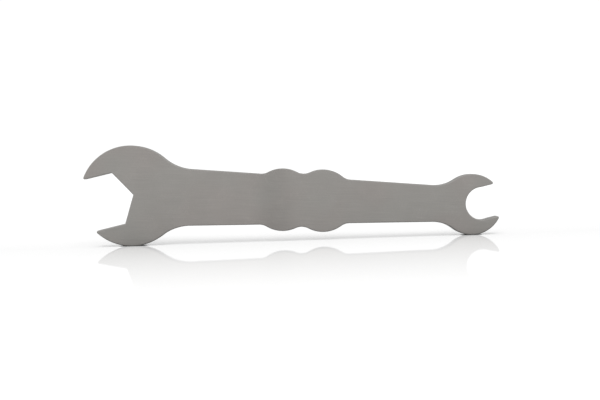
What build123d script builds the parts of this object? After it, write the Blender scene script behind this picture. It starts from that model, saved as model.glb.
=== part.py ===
from build123d import *
import os
from math import asin, cos, sin, sqrt

# Flat plate wrench with an open jaw at each end, cut as one piece from steel plate.
# It stands on the edges of its two heads: X runs along the ground from the large jaw to the
# small one, Y through the plate, Z up. The origin is at the middle of the footprint.

# ---- driving dimensions, in mm and degrees ----

thickness = 5.0
edge_radius = 0.5  # the tumbled edge all round both faces

head_distance = 156.5  # between the centres of the two heads
large_head_radius = 22.95
small_head_radius = 14.1

# shank: half of its width where its straight sides reach each head's centre
shank_half_width_large = 14.05
shank_half_width_small = 7.75
large_neck_radius = 21.0  # hollow curve between the large head and the shank
small_neck_radius = 16.3

# finger grips: a pair of round swells on each edge of the shank
grip_radius = 14.35
grip_place = 78.3  # from the large head's centre to the middle of the pair
grip_spacing = 18.5
grip_hollow_radius = 6.7

# large jaw: the inner half of a hexagon and its mouth
large_jaw_width = 24.0  # across the flats
large_jaw_angle = 15.5  # between the mouth and the wrench's axis
large_jaw_offset = 12.7  # from the head's centre to the hexagon's, towards the mouth
large_jaw_sidestep = -0.3  # the same, across the mouth
large_tip_radius = 0.65

# small jaw: two flats with a round bottom
small_jaw_width = 15.0
small_jaw_angle = 15.5
small_jaw_offset = 4.7
small_jaw_sidestep = -0.65
small_jaw_bottom_radius = 7.6
small_tip_radius = 0.65

# ---- the blank, drawn along the wrench's axis from the large head's centre ----


def round_hollows(radius):
    """Rounds the inward corners of the sketch in hand, as a ball rolled along it would."""
    offset(amount=radius, kind=Kind.ARC)
    offset(amount=-radius, kind=Kind.ARC)


with BuildSketch() as taper:
    with BuildLine():
        Polyline(
            (0, -shank_half_width_large),
            (head_distance, -shank_half_width_small),
            (head_distance, shank_half_width_small),
            (0, shank_half_width_large),
            close=True,
        )
    make_face()

with BuildSketch() as large_end:
    add(taper.sketch)
    Circle(large_head_radius)
    round_hollows(large_neck_radius)

with BuildSketch() as small_end:
    add(taper.sketch)
    with Locations((head_distance, 0)):
        Circle(small_head_radius)
    round_hollows(small_neck_radius)

with BuildSketch() as grips:
    add(taper.sketch)
    with Locations((grip_place, 0)), GridLocations(grip_spacing, 0, 2, 1):
        Circle(grip_radius)
    round_hollows(grip_hollow_radius)

# ---- the jaws, each in its own frame: X runs out of the mouth, from the jaw's centre ----

large_jaw = Location((0, 0, 0), (0, 0, 180 + large_jaw_angle)) * Location(
    (large_jaw_offset, large_jaw_sidestep, 0)
)
small_jaw = Location((head_distance, 0, 0), (0, 0, small_jaw_angle)) * Location(
    (small_jaw_offset, small_jaw_sidestep, 0)
)


def horn_tips(jaw, width, head_radius, from_head, sidestep):
    """The two places where a jaw's flats run out through the rim of its head."""
    flats = (-width / 2, width / 2)
    reach = [sqrt(head_radius**2 - (flat + sidestep) ** 2) - from_head for flat in flats]
    return [(jaw * Location((x, y, 0))).position for x, y in zip(reach, flats)]


with BuildSketch() as outline:
    add([large_end.sketch, small_end.sketch, grips.sketch])
    with Locations(large_jaw):
        RegularPolygon(large_jaw_width / 2, 6, major_radius=False, mode=Mode.SUBTRACT)
        Rectangle(
            large_head_radius,
            large_jaw_width,
            align=(Align.MIN, Align.CENTER),
            mode=Mode.SUBTRACT,
        )
    with Locations(small_jaw):
        Circle(small_jaw_bottom_radius, mode=Mode.SUBTRACT)
        Rectangle(
            small_head_radius,
            small_jaw_width,
            align=(Align.MIN, Align.CENTER),
            mode=Mode.SUBTRACT,
        )
    for tip in horn_tips(
        large_jaw, large_jaw_width, large_head_radius, large_jaw_offset, large_jaw_sidestep
    ):
        fillet(outline.vertices().sort_by_distance(tip)[0], large_tip_radius)
    for tip in horn_tips(
        small_jaw, small_jaw_width, small_head_radius, small_jaw_offset, small_jaw_sidestep
    ):
        fillet(outline.vertices().sort_by_distance(tip)[0], small_tip_radius)

# ---- the plate, stood on its heads ----

# The ground touches both heads from below, so the axis falls by this angle, in radians.
axis_fall = asin((large_head_radius - small_head_radius) / head_distance)
along_axis = (cos(axis_fall), 0, -sin(axis_fall))
over_large_head = Plane(origin=(0, 0, large_head_radius), x_dir=along_axis, z_dir=(0, -1, 0))
middle = over_large_head.from_local_coords(outline.sketch).bounding_box().center().X
standing = Plane(origin=(-middle, 0, large_head_radius), x_dir=along_axis, z_dir=(0, -1, 0))

with BuildPart() as wrench_plate:
    with BuildSketch(standing):
        add(outline.sketch)
    extrude(amount=thickness / 2, both=True)
    fillet(wrench_plate.faces().filter_by(Axis.Y).edges(), edge_radius)

wrench_plate.part.label = "wrench_plate"
os.makedirs("parts", exist_ok=True)
export_step(wrench_plate.part, "parts/wrench_plate.step")
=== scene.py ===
import bpy
from math import acos, asin, atan2, ceil, cos, degrees, dist, hypot, pi, radians, sin, sqrt, tau
from mathutils import Matrix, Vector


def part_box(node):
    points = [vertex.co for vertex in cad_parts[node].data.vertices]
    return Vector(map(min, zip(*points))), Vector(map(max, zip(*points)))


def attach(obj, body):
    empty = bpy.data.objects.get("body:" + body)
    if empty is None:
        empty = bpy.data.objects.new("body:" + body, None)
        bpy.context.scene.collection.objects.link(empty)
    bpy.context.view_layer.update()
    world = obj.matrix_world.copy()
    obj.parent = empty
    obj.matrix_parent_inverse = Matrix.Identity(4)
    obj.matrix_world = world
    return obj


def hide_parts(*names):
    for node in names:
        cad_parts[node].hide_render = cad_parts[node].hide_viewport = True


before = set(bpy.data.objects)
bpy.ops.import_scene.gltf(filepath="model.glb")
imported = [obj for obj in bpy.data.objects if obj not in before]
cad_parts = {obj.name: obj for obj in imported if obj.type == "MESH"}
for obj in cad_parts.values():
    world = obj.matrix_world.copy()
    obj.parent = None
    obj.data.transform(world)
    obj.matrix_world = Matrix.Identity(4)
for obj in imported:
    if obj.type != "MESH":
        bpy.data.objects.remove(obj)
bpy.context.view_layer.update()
plateLow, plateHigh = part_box("wrench_plate")
print("frame loaded, plate", [round(side * 1000, 2) for side in plateHigh - plateLow], "mm")


class Wire:
    # a node's output that can be written into sums and products

    def __init__(self, tree, socket):
        self.tree = tree
        self.socket = socket

    def out(self, name):
        return Wire(self.tree, self.tree.pick(self.socket.node.outputs, name))

    def maths(self, operation, *values):
        return self.tree.add("ShaderNodeMath", {"operation": operation}, dict(enumerate(values)))

    def __add__(self, other):
        return self.maths("ADD", self, other)

    def __radd__(self, other):
        return self.maths("ADD", other, self)

    def __sub__(self, other):
        return self.maths("SUBTRACT", self, other)

    def __rsub__(self, other):
        return self.maths("SUBTRACT", other, self)

    def __mul__(self, other):
        return self.maths("MULTIPLY", self, other)

    def __rmul__(self, other):
        return self.maths("MULTIPLY", other, self)

    def __truediv__(self, other):
        return self.maths("DIVIDE", self, other)

    def __rtruediv__(self, other):
        return self.maths("DIVIDE", other, self)

    def __neg__(self):
        return self.maths("MULTIPLY", self, -1)

    def __abs__(self):
        return self.maths("ABSOLUTE", self)


class Nodes:
    # a node tree, with one way of adding any node to it

    def __init__(self, tree):
        self.tree = tree

    def pick(self, sockets, name):
        if isinstance(name, int):
            return sockets[name]
        named = (socket for socket in sockets if socket.name == name)
        return next(socket for socket in named if not socket.is_unavailable)

    def fill(self, node, sockets):
        for name, value in sockets.items():
            socket = self.pick(node.inputs, name)
            if isinstance(value, Wire):
                self.tree.links.new(value.socket, socket)
            else:
                socket.default_value = value

    def add(self, kind, settings=None, sockets=None):
        node = self.tree.nodes.new(kind)
        for name, value in (settings or {}).items():
            setattr(node, name, value)
        self.fill(node, sockets or {})
        return Wire(self, node.outputs[0]) if node.outputs else node

    # a value that runs from low to high as the wire runs from start to end
    def spread(self, wire, start, end, low=0, high=1, kind="SMOOTHSTEP"):
        sockets = {"Value": wire, "From Min": start, "From Max": end, "To Min": low, "To Max": high}
        return self.add("ShaderNodeMapRange", {"interpolation_type": kind}, sockets)

    def noise(self, place, size, detail=2, roughness=0.5, distortion=0):
        sockets = {"Vector": place, "Scale": 1 / size, "Detail": detail}
        sockets |= {"Roughness": roughness, "Distortion": distortion}
        return self.add("ShaderNodeTexNoise", {"noise_dimensions": "3D"}, sockets)

    def vector(self, operation, first, second):
        return self.add("ShaderNodeVectorMath", {"operation": operation}, {0: first, 1: second})

    def scaled(self, vector, factor):
        sockets = {0: vector, "Scale": factor}
        return self.add("ShaderNodeVectorMath", {"operation": "SCALE"}, sockets)

    def blend(self, share, first, second):
        sockets = {"Factor": share, "A": first, "B": second}
        return self.add("ShaderNodeMix", {"data_type": "RGBA"}, sockets).out("Result")

    def join(self, *pieces):
        joined = self.add("GeometryNodeJoinGeometry")
        for piece in pieces:
            self.tree.links.new(piece.socket, joined.socket.node.inputs[0])
        return joined


def newMaterial(name):
    material = bpy.data.materials.new(name)
    material.use_nodes = True
    material.node_tree.nodes.clear()
    return material, Nodes(material.node_tree)


# mm along and across the wrench's own axis, from the large head's centre
blank = {
    "headDistance": 156.5,
    "largeHead": 22.95,  # radii
    "smallHead": 14.1,
    "shankAtLarge": 14.05,  # half of the shank's width at each head's centre
    "shankAtSmall": 7.75,
    "largeNeck": 21.0,
    "smallNeck": 16.3,
    "grip": 14.35,  # finger swells
    "gripPlace": 78.3,
    "gripSpacing": 18.5,
    "gripHollow": 6.7,
    "curveTolerance": 0.003,
}
largeJaw = {
    "width": 24.0,
    "angle": 180 + 15.5,
    "offset": 12.7,
    "sidestep": -0.3,
    "tip": 0.65,
    "corner": 0.2,  # what the tumbling leaves in the hexagon's corners
}
smallJaw = {
    "width": 15.0,
    "angle": 15.5,
    "offset": 4.7,
    "sidestep": -0.65,
    "tip": 0.65,
    "bottom": 7.6,
    "shoulder": 1.0,  # where the flats run into the round bottom
}


def axisFall(size):
    # the ground touches both heads from below, so the axis falls towards the small one
    return asin((size["largeHead"] - size["smallHead"]) / size["headDistance"])


# The outline is a string pulled round pegs, with the steel on its left. Each peg is
# (along, across, radius), and one with a negative radius is a hollow.
def jawPlace(jaw, headAt, x, y):
    # x runs out of the jaw's mouth, from the jaw's own centre
    turn = radians(jaw["angle"])
    x += jaw["offset"]
    y += jaw["sidestep"]
    return headAt + x * cos(turn) - y * sin(turn), x * sin(turn) + y * cos(turn)


def hornTip(jaw, headAt, head, side):
    # touches the flat from inside the steel, and the head's rim
    tip = jaw["tip"]
    across = side * (jaw["width"] / 2 + tip)
    reach = sqrt((head - tip) ** 2 - (across + jaw["sidestep"]) ** 2) - jaw["offset"]
    return (*jawPlace(jaw, headAt, reach, across), tip)


def hexagonCorners(jaw):
    # the hollow's own centre stands off the corner, towards the hexagon's centre
    corner = jaw["corner"]
    reach = (jaw["width"] / 2 - corner) / cos(pi / 6)
    turns = [radians(240), radians(180), radians(120)]
    return [(*jawPlace(jaw, 0, reach * cos(turn), reach * sin(turn)), -corner) for turn in turns]


def roundBottom(jaw, headAt):
    shoulder, bottom = jaw["shoulder"], jaw["bottom"]
    across = jaw["width"] / 2 + shoulder
    along = sqrt((bottom + shoulder) ** 2 - across**2)
    lower = (*jawPlace(jaw, headAt, along, -across), shoulder)
    upper = (*jawPlace(jaw, headAt, along, across), shoulder)
    return [lower, (*jawPlace(jaw, headAt, 0, 0), -bottom), upper]


def hollowBeside(size, centre, radius, hollow, side):
    # touches the shank's upper side and, on its left (-1) or right (1), a round on the axis
    lean = atan2(size["shankAtSmall"] - size["shankAtLarge"], size["headDistance"])
    away = centre * sin(lean) + size["shankAtLarge"] * cos(lean) + hollow
    reach = side * sqrt((radius + hollow) ** 2 - away**2)
    along = centre - away * sin(lean) + reach * cos(lean)
    return along, away * cos(lean) + reach * sin(lean), -hollow


def shankSide(size):
    # the upper side from the small head back to the large one
    grips = [size["gripPlace"] + way * size["gripSpacing"] / 2 for way in (1, -1)]
    valley = sqrt((size["grip"] + size["gripHollow"]) ** 2 - (size["gripSpacing"] / 2) ** 2)
    return [
        hollowBeside(size, size["headDistance"], size["smallHead"], size["smallNeck"], -1),
        hollowBeside(size, grips[0], size["grip"], size["gripHollow"], 1),
        (grips[0], 0, size["grip"]),
        (size["gripPlace"], valley, -size["gripHollow"]),
        (grips[1], 0, size["grip"]),
        hollowBeside(size, grips[1], size["grip"], size["gripHollow"], -1),
        hollowBeside(size, 0, size["largeHead"], size["largeNeck"], 1),
    ]


def wrenchPegs(size):
    far = size["headDistance"]
    smallRound = (far, 0, size["smallHead"])
    largeRound = (0, 0, size["largeHead"])
    upper = shankSide(size)
    lower = [(along, -across, radius) for along, across, radius in reversed(upper)]
    return [
        largeRound,
        *lower,
        smallRound,
        hornTip(smallJaw, far, size["smallHead"], -1),
        *roundBottom(smallJaw, far),
        hornTip(smallJaw, far, size["smallHead"], 1),
        smallRound,
        *upper,
        largeRound,
        hornTip(largeJaw, 0, size["largeHead"], -1),
        *hexagonCorners(largeJaw),
        hornTip(largeJaw, 0, size["largeHead"], 1),
    ]


def runNormal(first, second):
    # the direction, out of the steel, square to the string between two pegs
    along, across = second[0] - first[0], second[1] - first[1]
    share = (first[2] - second[2]) / hypot(along, across)
    return atan2(across, along) - acos(max(-1, min(1, share)))


def stringOutline(pegs, tolerance):
    # points along the string, each with the direction out of the steel
    points = []
    for before, peg, after in zip(pegs[-1:] + pegs[:-1], pegs, pegs[1:] + pegs[:1]):
        start = runNormal(before, peg)
        turn = (runNormal(peg, after) - start) % tau
        if peg[2] < 0:
            turn -= tau
        steps = ceil(abs(turn) / (2 * acos(1 - tolerance / abs(peg[2]))))
        for step in range(steps + 1):
            way = start + turn * step / steps
            point = (peg[0] + peg[2] * cos(way), peg[1] + peg[2] * sin(way))
            points.append((point, (cos(way), sin(way))))
    # runs of the string that have no length leave two points in one place
    lasts = points[-1:] + points[:-1]
    return [item for item, last in zip(points, lasts) if dist(item[0], last[0]) > tolerance / 10]


def makeOutline(size, low, high):
    # drawn flat, x along the ground and y up, at its place between the box's ends
    fall = axisFall(size)
    across, up = (cos(fall), -sin(fall)), (sin(fall), cos(fall))
    drawn = stringOutline(wrenchPegs(size), size["curveTolerance"])
    turned = [[[u * across[i] + w * up[i] for i in (0, 1)] for u, w in pair] for pair in drawn]
    ends = [place[0] for place, outward in turned]
    middle = (min(ends) + max(ends)) / 2
    centre = (low.x + high.x) / 2
    corners = []
    for (x, y), outward in turned:
        corners.append((centre + (x - middle) / 1000, (y + size["largeHead"]) / 1000, 0))
    count = len(corners)
    mesh = bpy.data.meshes.new("wrenchPlate")
    mesh.from_pydata(corners, [(i, (i + 1) % count) for i in range(count)], [])
    directions = mesh.attributes.new("outward", "FLOAT_VECTOR", "POINT")
    for item, (place, outward) in zip(directions.data, turned):
        item.vector = (*outward, 0)
    return mesh


plateEdge = {
    "Half Thickness": (plateHigh.y - plateLow.y) / 2,
    "Edge Radius": 0.0005,
    "Edge Steps": 7,
    "Face Margin": 0.0001,  # keeps the faces flat up to the rounding
}


def plateTree(defaults):
    # a closed outline with outward directions becomes a plate with rounded edges
    group = bpy.data.node_groups.new("roundedPlate", "GeometryNodeTree")
    tree = Nodes(group)
    group.interface.new_socket("Outline", in_out="INPUT", socket_type="NodeSocketGeometry")
    for name, value in defaults.items():
        kind = "NodeSocketInt" if isinstance(value, int) else "NodeSocketFloat"
        group.interface.new_socket(name, in_out="INPUT", socket_type=kind)
    group.interface.new_socket("Steel", in_out="INPUT", socket_type="NodeSocketMaterial")
    group.interface.new_socket("Plate", in_out="OUTPUT", socket_type="NodeSocketGeometry")
    given = tree.add("NodeGroupInput")
    radius = given.out("Edge Radius")
    thick = given.out("Half Thickness")
    vectorKind = {"data_type": "FLOAT_VECTOR"}
    outward = tree.add("GeometryNodeInputNamedAttribute", vectorKind, {"Name": "outward"})
    byEdges = {"mode": "EDGES"}

    # from the middle of the wall up to the rounding
    rise = tree.add("ShaderNodeCombineXYZ", None, {"Z": thick - radius})
    wall = {"Mesh": given.out("Outline"), "Offset": rise}
    wall = tree.add("GeometryNodeExtrudeMesh", byEdges, wall)

    # round the edge, one narrow strip each time
    repeat = tree.add("GeometryNodeRepeatInput")
    repeated = tree.add("GeometryNodeRepeatOutput")
    repeat.socket.node.pair_with_output(repeated.socket.node)
    repeated.socket.node.repeat_items.new("BOOLEAN", "Rim")
    steps = given.out("Edge Steps")
    tree.fill(repeat.socket.node, {"Iterations": steps, "Geometry": wall, "Rim": wall.out("Top")})
    before = repeat.out("Iteration") / steps * (pi / 2)
    after = (repeat.out("Iteration") + 1) / steps * (pi / 2)
    inset = (before.maths("COSINE", before) - after.maths("COSINE", after)) * radius
    climb = (after.maths("SINE", after) - before.maths("SINE", before)) * radius
    lift = tree.add("ShaderNodeCombineXYZ", None, {"Z": climb})
    move = tree.vector("ADD", tree.scaled(outward, -inset), lift)
    strip = {"Mesh": repeat.out("Geometry"), "Selection": repeat.out("Rim"), "Offset": move}
    strip = tree.add("GeometryNodeExtrudeMesh", byEdges, strip)
    tree.fill(repeated.socket.node, {"Geometry": strip, "Rim": strip.out("Top")})

    # the flat face, with a narrow margin that takes the turn of the shading
    margin = tree.scaled(outward, -given.out("Face Margin"))
    margin = {"Mesh": repeated.out("Geometry"), "Selection": repeated.out("Rim"), "Offset": margin}
    skirt = tree.add("GeometryNodeExtrudeMesh", byEdges, margin)
    rim = tree.add("GeometryNodeMeshToCurve", None, {"Mesh": skirt, "Selection": skirt.out("Top")})
    face = tree.add("GeometryNodeFillCurve", {"mode": "NGONS"}, {"Curve": rim})
    top = tree.add("ShaderNodeCombineXYZ", None, {"Z": thick})
    face = tree.add("GeometryNodeTransform", None, {"Geometry": face, "Translation": top})
    half = tree.join(tree.add("GeometryNodeFlipFaces", None, {"Mesh": skirt}), face)

    # the other half is its mirror image
    back = tree.add("GeometryNodeTransform", None, {"Geometry": half, "Scale": (1, 1, -1)})
    back = tree.add("GeometryNodeFlipFaces", None, {"Mesh": back})
    whole = {"Geometry": tree.join(half, back), "Distance": 1e-6}
    whole = tree.add("GeometryNodeMergeByDistance", None, whole)
    upright = {"Geometry": whole, "Rotation": (pi / 2, 0, 0)}
    whole = tree.add("GeometryNodeTransform", None, upright)
    whole = tree.add("GeometryNodeRealizeInstances", None, {"Geometry": whole})
    finished = {"Geometry": whole, "Material": given.out("Steel")}
    whole = tree.add("GeometryNodeSetMaterial", None, finished)
    tree.add("NodeGroupOutput", None, {"Plate": whole})
    return group


def makePlate(outline, sizes, material):
    plate = bpy.data.objects.new("wrenchPlate", outline)
    bpy.context.scene.collection.objects.link(plate)
    group = plateTree(sizes)
    modifier = plate.modifiers.new("roundedPlate", "NODES")
    modifier.node_group = group
    for item in group.interface.items_tree:
        if item.in_out == "INPUT" and item.name in sizes:
            modifier[item.identifier] = sizes[item.name]
        if item.name == "Steel":
            modifier[item.identifier] = material
    shaped = plate.evaluated_get(bpy.context.evaluated_depsgraph_get())
    plate.data = bpy.data.meshes.new_from_object(shaped)
    plate.data.materials.clear()
    plate.data.materials.append(material)
    plate.modifiers.clear()
    plate.data.attributes.remove(plate.data.attributes["outward"])
    plate.data.shade_smooth()
    return plate


# lengths in metres; colours are the steel's own, apart from a painted shade across the grip
steel = {
    "name": "satinSteel",
    "face": (0.421, 0.396, 0.376),
    "faceCool": (0.414, 0.402, 0.381),
    "faceTint": 0.03,  # size of the warm and cool areas
    "wall": (0.36, 0.35, 0.335),  # sheared edge, left rougher than the faces
    "polish": (0.47, 0.46, 0.445),  # rounded rims, burnished by tumbling
    "polishShare": 0.7,
    "roughness": 0.4,
    "reliefStrength": 0.25,
    "reliefDepth": 0.00004,
    "grainLean": degrees(axisFall(blank)),
    "grainLength": 0.016,
    "grainWidth": 0.00018,
    "cloud": 0.014,
    "fleck": 0.0005,
    "scratchTurns": (12, 71, 128),
    "scratchLength": 0.03,
    "scratchWidth": 0.0003,
    "scratchedArea": 0.009,
    "shearLine": 0.00035,
    "shearRun": 12,  # how many times longer than wide, through the plate
    "paintedShadeAt": plateLow.x * 0.1,  # a painted shade across the grip, standing in for the dark reflection of the camera side
    "paintedShadeReach": 0.012,
    # how much each mark adds to the shade, to the roughness and to the relief
    "shadeMarks": {
        # the painted shade across the grip
        "paintedShade": -0.1,
        "cloud": 0.16,
        "grain": 0.35,
        "fleck": 0.25,
        "shear": 0.8,
        "scratches": 0.12,
    },
    "roughMarks": {
        "cloud": 0.12,
        "grain": 0.25,
        "fleck": 0.15,
        "scratches": -0.06,
        "onWall": 0.08,
        "onEdge": -0.06,
    },
    "reliefMarks": {"grain": 0.5, "fleck": 0.6, "shear": 1.2, "scratches": -0.35},
}


def satinSteel(look, halfThickness, edgeRadius):
    material, tree = newMaterial(look["name"])
    place = tree.add("ShaderNodeTexCoord").out("Object")
    axes = tree.add("ShaderNodeSeparateXYZ", None, {"Vector": place})
    depth = abs(axes.out("Y"))

    def stretched(turn, scale):
        # turned in the plane of the faces, so that both of them look alike
        sockets = {"Vector": place, "Rotation": (0, radians(turn), 0), "Scale": scale}
        return tree.add("ShaderNodeMapping", {"vector_type": "TEXTURE"}, sockets)

    def within(outer, inner):
        # rises from outer to inner, both given as edge radii below the face
        start, end = (halfThickness - edgeRadius * below for below in (outer, inner))
        return tree.spread(depth, start, end)

    onWall = 1 - within(1.1, 0.7)
    onEdge = within(1, 0.6) * (1 - within(0.12, 0.02))
    marks = {"onWall": onWall, "onEdge": onEdge}
    # painted shade across the grip, in place of the camera side's dark reflection
    aside = abs(axes.out("X") - look["paintedShadeAt"])
    marks["paintedShade"] = tree.spread(aside, 0, look["paintedShadeReach"], 1, 0)

    # broad, barely visible clouds
    marks["cloud"] = tree.noise(place, look["cloud"], 3, 0.55, 0.4) - 0.5
    # fine lengthwise grain from the sheet's rolling and sanding
    grainScale = (look["grainLength"], look["grainWidth"], look["grainWidth"])
    grain = tree.noise(stretched(look["grainLean"], grainScale), 1, 3, 0.6)
    marks["grain"] = grain - 0.5
    # shallow tumbling marks
    marks["fleck"] = tree.noise(place, look["fleck"], 3, 0.6) - 0.5
    # shear lines across the wall
    shear = tree.noise(stretched(0, (1, look["shearRun"], 1)), look["shearLine"], 3, 0.65)
    marks["shear"] = (shear - 0.5) * onWall

    # hairline scratches, each direction its own layer, in a few areas
    scratchScale = (look["scratchLength"], look["scratchWidth"], look["scratchWidth"])
    scratches = 0
    for turn in look["scratchTurns"]:
        line = tree.noise(stretched(turn, scratchScale), 1, 1, 0.4)
        scratches = scratches + tree.spread(abs(line - 0.5), 0, 0.012, 1, 0)
    area = tree.spread(tree.noise(place, look["scratchedArea"], 1), 0.52, 0.62)
    marks["scratches"] = scratches * area

    def marked(base, weights):
        for name, weight in weights.items():
            base = base + marks[name] * weight
        return base

    tint = tree.spread(tree.noise(place, look["faceTint"], 2), 0.35, 0.65)
    tone = tree.blend(tint, (*look["face"], 1), (*look["faceCool"], 1))
    tone = tree.blend(onWall, tone, (*look["wall"], 1))
    tone = tree.blend(onEdge * look["polishShare"], tone, (*look["polish"], 1))
    relief = {"Strength": look["reliefStrength"], "Distance": look["reliefDepth"]}
    relief["Height"] = marked(0, look["reliefMarks"])
    surface = tree.add("ShaderNodeBsdfPrincipled", None, {
        "Base Color": tree.scaled(tone, marked(1, look["shadeMarks"])),
        "Metallic": 1.0,
        "Roughness": marked(look["roughness"], look["roughMarks"]),
        "Normal": tree.add("ShaderNodeBump", None, relief),
    })
    tree.add("ShaderNodeOutputMaterial", None, {"Surface": surface})
    print("steel mixed,", len(material.node_tree.nodes), "nodes")
    return material


plateSteel = satinSteel(steel, plateEdge["Half Thickness"], plateEdge["Edge Radius"])
wrench = makePlate(makeOutline(blank, plateLow, plateHigh), plateEdge, plateSteel)
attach(wrench, "root")
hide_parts("wrench_plate")
print("plate made,", len(wrench.data.polygons), "faces")

studio = {
    "floorSize": 6.0,  # metres, as are all the reaches
    "floorTone": 0.5,
    "floorGlow": 0.22,  # the sweep is lit a little from below
    "floorSheen": 0.5,
    "floorSheenRoughness": 0.04,
    "floorSheenReach": 0.165,
    "contactReach": 0.0012,
    "contactShade": 0.08,
    "nearGlow": 0.5,  # the floor's glow as the steel sees it, close by (dimmer, a painted shade) and further off
    "farGlow": 0.66,
    "glowReach": 0.1,
    "shadeReach": 0.02,
    "deepestShade": 0.15,
    "skyTop": 0.76,  # the sky as the steel sees it
    "skyHorizon": 0.84,
    "skySeen": 1.05,
    "overheadStrength": 3.5,
    "overheadSpread": 50.0,
    "overheadTurn": (20.0, 0.0, 0.0),
    "lens": 42.0,
    "sensor": 36.0,
    "cameraPlace": (-0.005795, -0.32237, 0.03549),
    "lookDown": 3.0,
    "lookRight": 1.59,
    "lean": 1.723,
}


def makeFloor(look):
    half = look["floorSize"] / 2
    mesh = bpy.data.meshes.new("studioFloor")
    corners = [(x * half, y * half, 0) for x, y in ((-1, -1), (1, -1), (1, 1), (-1, 1))]
    mesh.from_pydata(corners, [], [(0, 1, 2, 3)])
    floor = bpy.data.objects.new("studioFloor", mesh)
    bpy.context.scene.collection.objects.link(floor)
    material, tree = newMaterial("whiteSweep")
    place = tree.add("ShaderNodeTexCoord").out("Object")
    away = abs(tree.add("ShaderNodeSeparateXYZ", None, {"Vector": place}).out("Y"))

    def openness(reach, samples):
        sockets = {"Distance": reach}
        return tree.add("ShaderNodeAmbientOcclusion", {"samples": samples}, sockets).out("AO")

    # white paper under a thin gloss, with a painted contact shadow, from an occlusion test, where
    # the steel all but touches it
    contact = openness(look["contactReach"], 16)
    contact = tree.spread(contact, 0.2, 0.75, look["contactShade"], 1)
    paper = tree.add("ShaderNodeBsdfDiffuse", None, {"Color": contact * look["floorTone"]})
    glow = tree.add("ShaderNodeEmission", None, {"Strength": contact * look["floorGlow"]})
    paper = tree.add("ShaderNodeAddShader", None, {0: paper, 1: glow})
    sheen = {"Color": contact, "Roughness": look["floorSheenRoughness"]}
    sheen = tree.add("ShaderNodeBsdfAnisotropic", {"distribution": "GGX"}, sheen)
    fade = tree.spread(away, 0, look["floorSheenReach"], look["floorSheen"], 0, "LINEAR")
    seen = tree.add("ShaderNodeMixShader", None, {0: fade, 1: paper, 2: sheen})

    # the steel sees an evenly glowing floor instead, with painted shade close to the plate
    shade = openness(look["shadeReach"], 8)
    shade = tree.spread(shade, 0.2, 1, look["deepestShade"], 1, "LINEAR")
    lit = tree.spread(away, 0, look["glowReach"], look["nearGlow"], look["farGlow"], "LINEAR")
    lit = tree.add("ShaderNodeEmission", None, {"Strength": shade * lit})
    direct = tree.add("ShaderNodeLightPath").out("Is Camera Ray")
    surface = tree.add("ShaderNodeMixShader", None, {0: direct, 1: lit, 2: seen})
    tree.add("ShaderNodeOutputMaterial", None, {"Surface": surface})
    mesh.materials.append(material)


def makeSky(look):
    world = bpy.data.worlds.new("studioSky")
    bpy.context.scene.world = world
    world.use_nodes = True
    world.node_tree.nodes.clear()
    tree = Nodes(world.node_tree)
    way = tree.add("ShaderNodeTexCoord").out("Generated")
    up = tree.add("ShaderNodeSeparateXYZ", None, {"Vector": way}).out("Z")
    glow = tree.spread(up, 0.1, 0.35, look["skyHorizon"], look["skyTop"])
    direct = tree.add("ShaderNodeLightPath").out("Is Camera Ray")
    strength = glow + direct * (look["skySeen"] - glow)
    sky = {"Color": (1, 1, 1, 1), "Strength": strength}
    sky = tree.add("ShaderNodeBackground", None, sky)
    tree.add("ShaderNodeOutputWorld", None, {"Surface": sky})


def makeOverheadLight(look):
    # wide and even, so that the floor stays white to its far end, and not mirrored in the steel
    light = bpy.data.lights.new("overheadLight", "SUN")
    light.energy = look["overheadStrength"]
    light.angle = radians(look["overheadSpread"])
    overhead = bpy.data.objects.new("overheadLight", light)
    overhead.visible_glossy = False
    overhead.rotation_euler = [radians(turn) for turn in look["overheadTurn"]]
    bpy.context.scene.collection.objects.link(overhead)


def makeCamera(look):
    camera = bpy.data.objects.new("studioCamera", bpy.data.cameras.new("studioCamera"))
    camera.data.lens = look["lens"]
    camera.data.sensor_width = look["sensor"]
    camera.data.clip_start = 0.01
    turn = Matrix.Rotation(-radians(look["lookRight"]), 4, "Z")
    tilt = Matrix.Rotation(radians(90 - look["lookDown"]), 4, "X")
    roll = Matrix.Rotation(-radians(look["lean"]), 4, "Z")
    camera.matrix_world = Matrix.Translation(look["cameraPlace"]) @ turn @ tilt @ roll
    bpy.context.scene.collection.objects.link(camera)
    bpy.context.scene.camera = camera


makeFloor(studio)
makeSky(studio)
makeOverheadLight(studio)
makeCamera(studio)
bpy.context.scene.view_settings.view_transform = "Standard"
print("studio set")
